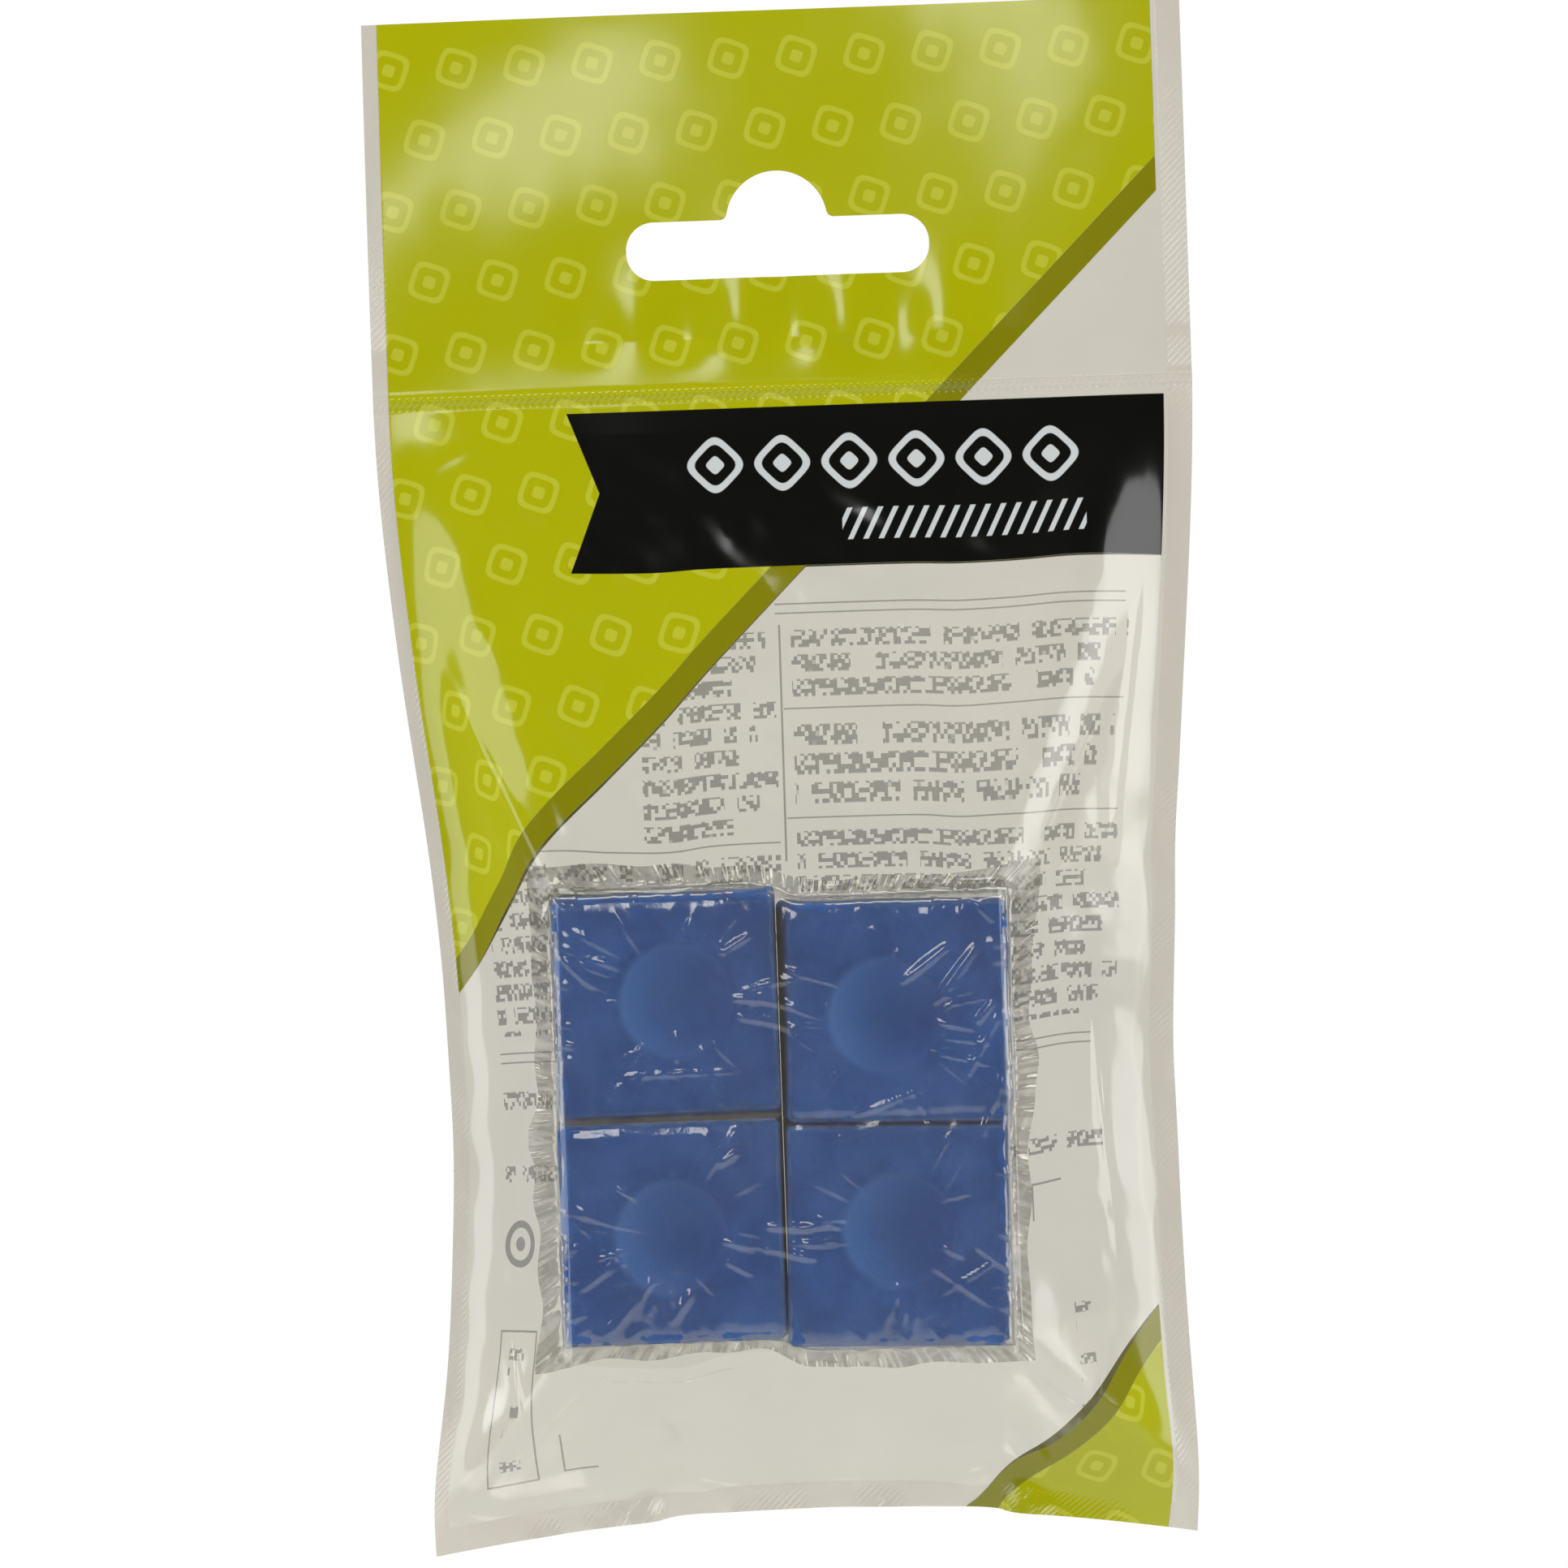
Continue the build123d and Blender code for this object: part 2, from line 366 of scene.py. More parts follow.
def chalk_material():
    """Matt pressed chalk: mottled blue, fine pores, lighter where it is worn, and lighter in the dimple,
    which is pressed chalk with painted light on its left side.
    """
    made, shade = material("blue_chalk")
    place = shade.node("ShaderNodeTexCoord", output=3)
    cloud = shade.node("ShaderNodeTexNoise", inputs={
        "Vector": place, "Scale": 210, "Detail": 6, "Roughness": 0.65})
    pores = shade.node("ShaderNodeTexNoise", inputs={"Vector": place, "Scale": 2600, "Detail": 3})
    specks = shade.node("ShaderNodeTexVoronoi", inputs={"Vector": place, "Scale": 1100})
    wear = shade.node("ShaderNodeAttribute", {"attribute_name": "wear"}, output=2)
    pressed_and_painted_light = shade.node("ShaderNodeAttribute", {"attribute_name": "pressed_and_painted_light"}, output=2)
    blue = cloud.rise(0.3, 0.72).mix(colour(36, 88, 172), colour(53, 112, 200))
    # Lighter blue in the dimple: pressed chalk, with painted light on its left side.
    blue = pressed_and_painted_light.mix(blue, colour(84, 146, 228))
    blue = (wear * (0.35 + cloud * 0.6)).mix(blue, colour(108, 150, 206))
    blue = ((1 - specks.rise(0.05, 0.22)) * 0.28).mix(blue, colour(24, 50, 108))
    bumps = shade.node("ShaderNodeBump", inputs={"Height": pores * 0.7 + cloud * 0.6,
                                                 "Strength": 0.8, "Distance": 0.2 * MM})
    output(shade, shade.node("ShaderNodeBsdfPrincipled", inputs={
        "Base Color": blue, "Roughness": 0.92 - wear * 0.06, "Normal": bumps,
        "Specular IOR Level": 0.25, "Sheen Weight": 0.15, "Sheen Roughness": 0.5}))
    return made


chalk = chalk_material()
for number, (node, (lean, dimple_x, dimple_z)) in enumerate(cube_turns.items()):
    low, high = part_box(node)
    middle = np.array((low + high) / 2) / MM
    cube_edge = (high.y - low.y) / MM
    inward = np.array([1 if "left" in node else -1, -1 if "top" in node else 1])
    skin, quads, flare, wear, pressed_and_painted_light = pressed_cube(cube_edge, dimple_x, dimple_z, inward, 11 + 7 * number)
    c, s = np.cos(radians(lean)), np.sin(radians(lean))
    turned = skin @ np.array([[c, 0, -s], [0, 1, 0], [s, 0, c]]) + middle
    turned[:, [0, 2]] += flare * (meeting[[0, 2]] - touching * inward - turned[:, [0, 2]])
    cube = piece_from(node + "_pressed", turned, quads)
    keep_attribute(cube, "wear", wear)
    keep_attribute(cube, "pressed_and_painted_light", pressed_and_painted_light)
    cube.data.materials.append(chalk)
    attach(cube, "block")
    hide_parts(node)


# ---------------------------------------------------------------------------------------------
# Shrink wrap. Clear film shrunk hot round the four cubes, with the cut and sealed fringe left
# standing round the block's middle. It spans the dimples, and pleats where it had to gather.
wrap_gap = 0.16
wrap_fold_round = 0.9
wrap_fringe = 2.1
wrap_cell = 0.25
most_lift = 0.17
ray_count, edge_pleat_count, stray_count = 24, 110, 16
gap_width, gap_sag = 0.7, 0.12
cube_step = 1.5
fringe_cuts = (0.016, 0.3, 79), (0.026, 1.1, 80)
ripple_height, ripple_sizes = 0.35, (0.11, 0.035)
ear_width, ear_length = 0.09, 0.03
ear_corners = (0.79, -0.79, -2.35)
# Long pleats: start right of and above the block's middle, heading in degrees, length, width, height.
long_pleats = (
    (14.6, 11.2, 54, 8.0, 0.34, 0.5), (11.4, 13.6, 38, 6.5, 0.3, 0.45), (18.6, 9.2, 50, 3.6, 0.3, 0.4),
    (17.4, 3.6, 62, 8.5, 0.3, 0.35), (19.6, -2.4, 78, 7.0, 0.26, 0.35),
    (-18.6, -22.2, 50, 8.6, 0.36, 0.5), (-11.8, -20.6, 58, 4.4, 0.28, 0.4), (-6.8, -4.4, 34, 2.6, 0.26, 0.45),
    (-5.0, 12.0, -5, 6.5, 0.24, 0.35), (-4.6, 10.2, -9, 6.2, 0.24, 0.35), (-6.0, 16.2, 30, 4.0, 0.22, 0.35),
    (-2.4, -10.8, 4, 5.0, 0.24, 0.35), (-2.8, -13.0, -4, 5.6, 0.24, 0.35), (-10.4, 5.8, 88, 3.2, 0.24, 0.4),
    (18.2, -12.4, -38, 6.0, 0.26, 0.35), (-21.6, 16.8, -44, 5.0, 0.28, 0.4), (21.0, 19.6, 128, 4.4, 0.3, 0.4),
)
block_low, block_high = cube_boxes[:, 0].min(0), cube_boxes[:, 1].max(0)
block_middle = (block_low + block_high) / 2
block_half = (block_high - block_low) / 2
dimple_places = np.array([
    [box[:, 0].mean() + dimple_x, box[:, 2].mean() + dimple_z]
    for box, (_, dimple_x, dimple_z) in zip(cube_boxes, cube_turns.values())
])


def soft_floor(value, soft):
    """Value where it is positive and zero where it is negative, with a round bend between."""
    return (value + np.sqrt(value**2 + soft**2)) / 2


def ridge(across, along, place, heading, length, width, height):
    """One pleat: a bell across its line, fading out at both ends of its length."""
    du, dv = across - place[0], along - place[1]
    run = du * np.cos(heading) + dv * np.sin(heading)
    off = dv * np.cos(heading) - du * np.sin(heading)
    fade = np.clip(1 - (2 * run / length - 1) ** 2, 0, 1)
    return height * fade * np.exp(-((off / width) ** 2))


def wrap_pleats(u, v, half, draw):
    """Pleats on one half of the wrap: the long ones, rays round each dimple, and more over edges
    and corners."""
    total = np.zeros_like(u)
    for place_u, place_v, heading, length, width, height in long_pleats:
        total += ridge(u, v, (place_u, place_v), radians(heading), length, width, height)
    for place in dimple_places - block_middle[[0, 2]]:
        for _ in range(ray_count):
            angle = draw.uniform(0, 2 * np.pi)
            start = place + dimple_radius * draw.uniform(0.8, 1.05) * np.array([np.cos(angle), np.sin(angle)])
            heading = angle + draw.normal(0, 0.25)
            total += ridge(u, v, start, heading, draw.uniform(2, 8), draw.uniform(0.12, 0.3),
                           draw.uniform(0.05, 0.2))
    for _ in range(edge_pleat_count):
        side = draw.integers(4)
        share = draw.uniform(-1, 1)
        share = np.sign(share) * abs(share) ** 0.6
        if side % 2:
            start = np.array([share * half[0], (side - 2) * (half[1] - draw.uniform(0, 3))])
            heading = np.pi / 2 * (side - 2) - share * 0.5 * (side - 2)
        else:
            start = np.array([(side - 1) * (half[0] - draw.uniform(0, 3)), share * half[1]])
            heading = (0 if side == 2 else np.pi) + share * 0.5 * (side - 1)
        total += ridge(u, v, start, heading + draw.normal(0, 0.2), draw.uniform(6, 15),
                       draw.uniform(0.2, 0.5), draw.uniform(0.08, 0.3))
    for _ in range(stray_count):
        start = draw.uniform(-1, 1, 2) * half
        total += ridge(u, v, start, draw.uniform(0, np.pi), draw.uniform(6, 18),
                       draw.uniform(0.15, 0.35), draw.uniform(0.04, 0.14))
    return total


def wrap_half(facing, seed):
    """Half of the wrap as one sheet: a grid across the front, over the edges, down the sides
    and out into the fringe. Past the edge, the distance w outside it turns into depth. Each
    edge then moves in to the cubes beside it, with a soft step where one cube meets the next."""
    draw = np.random.default_rng(seed)
    half = block_half[[0, 2]] + wrap_gap
    depth = block_half[1] + wrap_gap
    reach = depth + wrap_fringe
    counts = (2 * (half + reach) / wrap_cell).astype(int)
    u, v = np.meshgrid(np.linspace(-half[0] - reach, half[0] + reach, counts[0]),
                       np.linspace(half[1] + reach, -half[1] - reach, counts[1]))
    w = np.maximum(np.abs(u) - half[0], np.abs(v) - half[1])
    e = soft_floor(w - depth, 0.5) - soft_floor(-w, wrap_fold_round)
    back = -depth + soft_floor(w, wrap_fold_round) - soft_floor(w - depth, 0.5)
    edge = w > -3
    x = np.where(edge, u * (half[0] + e) / (half[0] + np.where(edge, w, 0)), u)
    z = np.where(edge, v * (half[1] + e) / (half[1] + np.where(edge, w, 0)), v)
    upper, right = 0.5 + 0.5 * np.tanh(z / cube_step), 0.5 + 0.5 * np.tanh(x / cube_step)
    left_top, right_top, left_foot, right_foot = cube_boxes[:, :, [0, 2]] - block_middle[[0, 2]]
    to_right = (upper * right_top[1, 0] + (1 - upper) * right_foot[1, 0]) / block_half[0]
    to_left = -(upper * left_top[0, 0] + (1 - upper) * left_foot[0, 0]) / block_half[0]
    to_top = (right * right_top[1, 1] + (1 - right) * left_top[1, 1]) / block_half[2]
    to_foot = -(right * right_foot[0, 1] + (1 - right) * left_foot[0, 1]) / block_half[2]
    x, z = x * np.where(x > 0, to_right, to_left), z * np.where(z > 0, to_top, to_foot)
    points = np.stack([x, back, z], -1)
    across, down = np.gradient(points, axis=1), np.gradient(points, axis=0)
    outward = np.cross(down, across)
    outward /= np.linalg.norm(outward, axis=-1, keepdims=True)
    lift = most_lift * np.tanh(wrap_pleats(u, v, half, draw) / most_lift)
    lift += 0.05 * soft_floor(waves(np.stack([u, v], -1), 5, seed + 1), 0.3)
    gaps = np.exp(-(((u - 0.2) / gap_width) ** 2)) + np.exp(-(((v + 0.1) / gap_width) ** 2))
    lift -= gap_sag * np.clip(gaps, 0, 1) * (w < 0)
    fringe = np.clip((w - depth + 0.4) / wrap_fringe, 0, 1)
    lift = lift * (1 - 0.7 * fringe)
    points += outward * lift[..., None]
    around = np.arctan2(v, u)
    circle = np.stack([np.cos(around), np.sin(around)], -1)
    ripple = waves(circle, ripple_sizes[0], 77) + 0.7 * waves(circle, ripple_sizes[1], 78)
    points[..., 1] += np.where(w > depth - 0.8, ripple_height * ripple * fringe, 0)
    ears = sum(np.exp(-(((around - corner) / ear_width) ** 2)) for corner in ear_corners)
    ragged = sum(most * waves(circle, size, draws) for most, size, draws in fringe_cuts)
    cut = 1 + (ragged + ear_length * ears) * fringe
    points[..., [0, 2]] *= cut[..., None]
    points[..., 1] = np.minimum(points[..., 1], -0.03 + 0.4 * fringe)
    quads = quads_of(*u.shape)
    if facing > 0:
        points[..., 1] = -points[..., 1] * (1 - fringe) + (points[..., 1] + 0.06) * fringe
        quads = quads[:, ::-1]
    # 1 over the sides and fringe: there the film is gathered and hazier, and its haze is painted darker grey
    #                              as painted shade.
    gathered_and_painted_shade = np.clip((w + 0.4) / 0.8, 0, 1)
    return points.reshape(-1, 3) + block_middle, quads, gathered_and_painted_shade.ravel()


head_on, grazing, flat_rough = 0.05, 0.85, 0.6


def film_layers(shade, solid, paint, tint, rough, bumps, shine):
    """Plastic film: seen straight through where solid is 0 and painted where it is 1, under a
    mirror-like skin that grows with the fifth power of the slant."""
    clear = shade.node("ShaderNodeBsdfTransparent", inputs={"Color": tint})
    flat = shade.node("ShaderNodeBsdfPrincipled", inputs={
        "Base Color": paint, "Roughness": flat_rough, "Specular IOR Level": 0.0})
    seen = shade.node("ShaderNodeMixShader", inputs={0: solid, 1: clear, 2: flat})
    slant = shade.node("ShaderNodeLayerWeight", inputs={"Blend": 0.5}, output=1)
    mirror = slant.power(5) * grazing + head_on * shine
    skin = shade.node("ShaderNodeBsdfPrincipled", inputs={
        "Base Color": (1, 1, 1, 1), "Metallic": 1.0, "Roughness": rough, "Normal": bumps})
    return shade.node("ShaderNodeMixShader", inputs={0: mirror, 1: seen, 2: skin})


def shrink_material():
    """Clear crackly film: faint haze, strong small highlights on its creases. Over its sides and fringe the
    haze is thicker and painted darker grey, which is painted shade.
    """
    made, shade = material("shrink_film")
    place = shade.node("ShaderNodeTexCoord", output=3)
    crackle = shade.node("ShaderNodeTexNoise", inputs={
        "Vector": place, "Scale": 420, "Detail": 3, "Roughness": 0.5, "Distortion": 1.2})
    broad = shade.node("ShaderNodeTexNoise", inputs={"Vector": place, "Scale": 150, "Detail": 2})
    bumps = shade.node("ShaderNodeBump", inputs={
        "Height": crackle * 0.3 + broad, "Strength": 0.3, "Distance": 0.3 * MM})
    gathered_and_painted_shade = shade.node("ShaderNodeAttribute", {"attribute_name": "gathered_and_painted_shade"}, output=2)
    # Sides and fringe: thicker haze of gathered film, and a darker grey paint that is painted shade.
    haze = crackle.rise(0.5, 0.8) * 0.03 + 0.008 + gathered_and_painted_shade * (0.12 + crackle.rise(0.3, 0.7) * 0.14)
    paint = gathered_and_painted_shade.mix(colour(225, 228, 228), colour(146, 146, 128))
    output(shade, film_layers(shade, haze, paint, (1, 1, 1, 1), 0.08, bumps, 3.0))
    return made


shrink = shrink_material()
for node, facing, seed in (("shrink_wrap_front", -1, 5), ("shrink_wrap_back", 1, 6)):
    skin, quads, gathered_and_painted_shade = wrap_half(facing, seed)
    wrap = piece_from(node.replace("wrap", "film"), skin, quads)
    keep_attribute(wrap, "gathered_and_painted_shade", gathered_and_painted_shade)
    wrap.data.materials.append(shrink)
    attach(wrap, "block")
    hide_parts(node, "shrink_wrap_fringe")
    face = 2 * (block_half + block_half[1] + wrap_fringe) * MM
    corner = (block_half[1] + wrap_fringe) * MM
    float(face[0] * face[2] - 4 * corner**2)


# ---------------------------------------------------------------------------------------------
# Bag. Two webs of film, printed on their inside and welded down both sides, along the foot
# and across under the header. The block stretches the pouch, which pulls its own edges in.
bag_width, bag_height, header_height = 80.0, 150.0, 38.0
pouch_height = bag_height - header_height
left_weld, right_weld, foot_weld, crease_weld = 1.6, 2.4, 2.6, 1.2
crease_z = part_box("crease_seal")[0].z / MM
bag_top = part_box("header_front_film")[1].z / MM
hold_half = block_half + wrap_gap + np.array([0.25, 0.2, 0.25])
hold_round = 1.6
web_gap = 0.04
half_bag = bag_width / 2
smoothing, foot_rise = 12, 3.6
drift_kept = 0.85
corner_draw = 1.5, 6


def pull(first, second, rest, share=0.5, only_short=False):
    """Moves two rows of points so that each pair is rest apart again."""
    gap = second - first
    length = np.sqrt((gap**2).sum(-1, keepdims=True)) + 1e-12
    miss = 1 - rest / length
    if only_short:
        miss = np.minimum(miss, 0)
    move = share * miss * gap
    first += move
    second -= move


def keep_film_size(webs, cell, stiff):
    """Film doesn't stretch: every cell keeps its sides and diagonals, and resists bending."""
    for odd in (0, 1):
        pull(webs[:, :, odd:-1:2], webs[:, :, odd + 1::2], cell)
        pull(webs[:, odd:-1:2], webs[:, odd + 1::2], cell)
        pull(webs[:, odd:-1:2, :-1], webs[:, odd + 1::2, 1:], cell * 2**0.5, 0.3)
        pull(webs[:, odd:-1:2, 1:], webs[:, odd + 1::2, :-1], cell * 2**0.5, 0.3)
    for start in range(4):
        far = webs[:, :, start + 2::4]
        pull(webs[:, :, start:-2:4][:, :, :far.shape[2]], far, 2 * cell, stiff, True)
        far = webs[:, start + 2::4]
        pull(webs[:, start:-2:4][:, :far.shape[1]], far, 2 * cell, stiff, True)


def keep_off_block(webs):
    """Points that are inside the rounded block go to its nearest skin."""
    away = webs - block_middle
    core = np.clip(away, hold_round - hold_half, hold_half - hold_round)
    out = away - core
    deep = np.sqrt((out**2).sum(-1))
    inside = (deep < hold_round) & (deep > 1e-6)
    scale = np.where(inside, hold_round / np.maximum(deep, 1e-9), 1.0)
    webs[:] = np.where(inside[..., None], block_middle + core + out * scale[..., None], webs)
    webs[..., 1] = np.where(deep <= 1e-6, np.sign(away[..., 1]) * hold_half[1], webs[..., 1])


def settle(webs, cell, steps, loops, tension, stiff, press):
    """Lets both webs move until the film is its own size again: the welds are drawn outwards,
    the top row stays on the header, and the welded bands of both webs stay together."""
    before = webs.copy()
    top = webs[:, 0].copy()
    corner_pull = corner_draw[0] + corner_draw[1] * np.linspace(-1, 1, webs.shape[2]) ** 4
    left, right, foot = (int(round(weld / cell)) + 1 for weld in (left_weld, right_weld, foot_weld))
    whole = slice(None)
    bands = (whole, slice(0, left)), (whole, slice(-right, None)), (slice(-foot, None), whole)
    for _ in range(steps):
        drift = (webs - before) * drift_kept
        before = webs.copy()
        webs += drift
        webs[:, :, :left, 0] -= tension
        webs[:, :, -right:, 0] += tension
        webs[:, -foot:, :, 2] -= tension * corner_pull
        webs[0, ..., 1] += press
        webs[1, ..., 1] -= press
        for _ in range(loops):
            keep_film_size(webs, cell, stiff)
            keep_off_block(webs)
            middle = webs.mean(0)
            for band in bands:
                webs[0][band] = middle[band]
                webs[1][band] = middle[band]
            webs[:, 0] = top
        crossed = webs[0, ..., 1] > webs[1, ..., 1]
        webs[..., 1] = np.where(crossed, webs[..., 1].mean(0), webs[..., 1])
    return webs


def finer(webs, axis):
    """Twice as many cells along one axis, with each new point on a cubic through its four."""
    rows = np.moveaxis(webs, axis, 0)
    padded = np.concatenate([2 * rows[:1] - rows[1:2], rows, 2 * rows[-1:] - rows[-2:-1]])
    middle = (9 * (padded[1:-2] + padded[2:-1]) - (padded[:-3] + padded[3:])) / 16
    made = np.empty((2 * len(rows) - 1,) + rows.shape[1:])
    made[::2], made[1::2] = rows, middle
    return np.moveaxis(made, 0, axis)


def drawn_down(webs):
    """Smooths away pleats finer than the film's stiffness allows, by averaging neighbours, and
    draws the foot down to its line, which is a shallow arch between the two corners."""
    for _ in range(smoothing):
        middle = (webs[:, :-2, 1:-1] + webs[:, 2:, 1:-1] + webs[:, 1:-1, :-2] + webs[:, 1:-1, 2:]) / 4
        webs[:, 1:-1, 1:-1] += 0.6 * (middle - webs[:, 1:-1, 1:-1])
        for edge in (0, -1):
            webs[:, 1:-1, edge] += 0.3 * (webs[:, :-2, edge] + webs[:, 2:, edge] - 2 * webs[:, 1:-1, edge])
        keep_off_block(webs)
    share = np.linspace(0, 1, webs.shape[1])[:, None]
    across = np.linspace(-1, 1, webs.shape[2])
    line = crease_z - pouch_height + foot_rise * (1 - across**2)
    webs[..., 2] += (line - webs[:, -1:, :, 2]) * share
    keep_off_block(webs)
    return webs


coarse_cell, fine_cell = 2.0, 1.0
tent_waist, waist_depth, tent_shrink = 0.1, 47, 0.985
tent_half, tent_clear = 37, 0.3
shiver_size, shiver_share = 0.03, (0.3, 1, 0.3)


def draped_webs():
    """Front and back web of the pouch over the block. The start is a tent: it rises in straight
    slopes from its four edges to the block's face. It then settles, and again on a finer grid."""
    cell = coarse_cell
    u, v = np.meshgrid(np.arange(bag_width / cell + 1) * cell - half_bag,
                       np.arange(pouch_height / cell + 1) * cell)
    x = u * (1 - tent_waist * np.clip(v / waist_depth, 0, 1))
    z = crease_z - v * tent_shrink
    left, right = block_middle[0] - hold_half[0], block_middle[0] + hold_half[0]
    low, high = block_middle[2] - hold_half[2], block_middle[2] + hold_half[2]
    foot = crease_z - pouch_height
    sides = np.minimum((x + tent_half) / (left + tent_half), (tent_half - x) / (tent_half - right))
    ends = np.minimum((crease_z - z) / (crease_z - high), (z - foot) / (low - foot))
    rise = (hold_half[1] + tent_clear) * np.clip(np.minimum(sides, ends), 0, 1)
    webs = np.stack([np.stack([x, side * rise, z], -1) for side in (-1, 1)])
    webs[:, 0, :, 0] = u[0]
    webs = settle(webs, cell, 300, 4, 0.02, 0.1, 0)
    webs = settle(webs, cell, 300, 6, 0.004, 0.15, 0.0003)
    webs = finer(finer(webs, 1), 2)
    shiver = np.random.default_rng(3).normal(0, shiver_size, webs[:, 1:].shape)
    webs[:, 1:] += shiver * np.array(shiver_share)
    webs = settle(webs, fine_cell, 200, 4, 0.004, 0.2, 0.0003)
    return drawn_down(settle(webs, fine_cell, 100, 8, 0.002, 0.25, 0.0002))


webs = draped_webs()
web_cell = pouch_height / (webs.shape[1] - 1)
curl_height, slot_ripple, slot_ripple_span = 1.8, 0.38, 10.4
seal_ridge, seal_ridge_width = 0.24, 0.4
slack_waves = (0.14, 13, 31), (0.05, 5, 33)
slack_lift = 0.2
# Creases of the front and the back web: u, v, heading in degrees, length, width and height.
creases = (
    ((20, 131, 44, 24, 0.6, 0.5), (35.5, 49, 94, 36, 0.5, 0.3), (-36, 62, 62, 30, 0.7, 0.35),
     (-33, 126, 70, 20, 0.6, 0.4), (31, 98, 86, 26, 0.5, 0.3), (-37, 45, -28, 14, 0.6, 0.3),
     (4, 133, 82, 15, 0.5, 0.2), (-22, 131, 130, 15, 0.6, 0.35)),
    ((-20, 131, 136, 24, 0.6, 0.5), (-34, 49, 86, 36, 0.5, 0.3), (35, 62, 118, 30, 0.7, 0.35),
     (33, 126, 110, 20, 0.6, 0.4), (-8, 133, 96, 15, 0.5, 0.25)),
)


def web_points(side, u, v):
    """Where the film point lies that is u right of the middle and v below the top of the flat
    bag. Over the header the film is flat, with ripples that are sums of sines and a corner that
    curls as a square. Below, it is a cubic surface through the draped points, with slack waves
    and creases wherever it doesn't lie on the block."""
    row = np.clip((v - header_height) / web_cell, 0, webs.shape[1] - 1.001)
    column = np.clip((u + half_bag) / web_cell, 0, webs.shape[2] - 1.001)
    points = np.zeros(u.shape + (3,))
    weights = []
    for value in (row, column):
        t = value - np.floor(value)
        weights.append([(-t**3 + 2 * t**2 - t) / 2, (3 * t**3 - 5 * t**2 + 2) / 2,
                        (-3 * t**3 + 4 * t**2 + t) / 2, (t**3 - t**2) / 2])
    grid = np.pad(webs[side], ((1, 2), (1, 2), (0, 0)), mode="reflect", reflect_type="odd")
    i, j = np.floor(row).astype(int), np.floor(column).astype(int)
    for di in range(4):
        for dj in range(4):
            points += (weights[0][di] * weights[1][dj])[..., None] * grid[i + di, j + dj]
    header = v < header_height
    fade = np.clip((header_height - v) / 6, 0, 1) ** 2
    under_slot = np.exp(-(((v - 30.5) / 5) ** 2) - (u / 19) ** 4)
    curl = np.clip(-u / 57 + (19 - v) / 27 - 0.2, 0, 1.5) ** 2
    wave = (slot_ripple * np.sin(u * 2 * np.pi / slot_ripple_span + 0.9) * under_slot
            + 0.4 * np.sin(u / 13 + v / 21 + 1) + 0.2 * np.sin(u / 7.7 - v / 15) + curl_height * curl)
    flat = np.stack([u, wave * fade, bag_top - v], -1)
    points = np.where(header[..., None], flat, points)
    outside = 2 * side - 1
    points[..., 1] += outside * web_gap
    points[..., 1] -= seal_ridge * np.exp(-(((v - header_height + 0.9) / seal_ridge_width) ** 2))
    slack = np.clip((v - header_height - 3) / 8, 0, 1) * np.clip((bag_height - 5 - v) / 8, 0, 1) * np.clip(
        (half_bag - 3 - np.abs(u)) / 6, 0, 1) * (np.abs(points[..., 1]) < block_half[1])
    flat = np.stack([u, v], -1)
    shape = sum(height * waves(flat, size, seed + side) for height, size, seed in slack_waves) + slack_lift
    for u0, v0, heading, length, width, height in creases[side]:
        shape = shape + ridge(u, v, (u0, v0), radians(heading), length, width, height)
    points[..., 1] += outside * slack * shape
    return points


slot_half, slot_round = (14.8, 2.85), 2.7
dome_up, dome_radius, dome_fillet = 2.55, 4.95, 0.7


def slot_radius(angle):
    """Distance from the slot's middle to its outline in a direction: the farther of a bar with
    rounded ends and a dome on it, found by halving, with a small fillet where they meet."""
    near, far = np.zeros_like(angle), np.full_like(angle, 25.0)
    for _ in range(40):
        middle = (near + far) / 2
        x, z = middle * np.cos(angle), middle * np.sin(angle)
        qx, qz = np.abs(x) - (slot_half[0] - slot_round), np.abs(z) - (slot_half[1] - slot_round)
        bar = np.hypot(np.maximum(qx, 0), np.maximum(qz, 0)) + np.minimum(np.maximum(qx, qz), 0) - slot_round
        dome = np.hypot(x, z - dome_up) - dome_radius
        blend = np.clip(dome_fillet - np.abs(bar - dome), 0, None) ** 2 / (4 * dome_fillet)
        inside = np.minimum(bar, dome) - blend < 0
        near, far = np.where(inside, middle, near), np.where(inside, far, middle)
    return near


slot_middle = (0.0, 23.25)
web_step, edge_step, slot_rings = 0.4, 0.25, 46
strip_top, header_foot, block_line = 36.0, 42.0, 108.0
crease_bend = 3.0
map_size = 160.0


def header_ring():
    """Film coordinates of the header above its foot strip: rings that go from the slot's
    outline to the rectangle's, along straight rays from the slot's middle."""
    across = np.linspace(-half_bag, half_bag, int(bag_width / web_step) + 1)
    down = np.linspace(0, strip_top, int(strip_top / edge_step) + 1)
    edge = np.concatenate([
        np.stack([across[:-1], np.zeros(len(across) - 1)], -1),
        np.stack([np.full(len(down) - 1, half_bag), down[:-1]], -1),
        np.stack([across[:0:-1], np.full(len(across) - 1, strip_top)], -1),
        np.stack([np.full(len(down) - 1, -half_bag), down[:0:-1]], -1),
    ])
    ray = edge - np.array(slot_middle)
    angle = np.arctan2(-ray[:, 1], ray[:, 0])
    hole = np.stack([np.cos(angle), -np.sin(angle)], -1) * slot_radius(angle)[:, None] + slot_middle
    share = np.linspace(0, 1, slot_rings)[:, None, None] ** 1.3
    rings = hole + (edge - hole) * share
    return rings[..., 0], rings[..., 1]


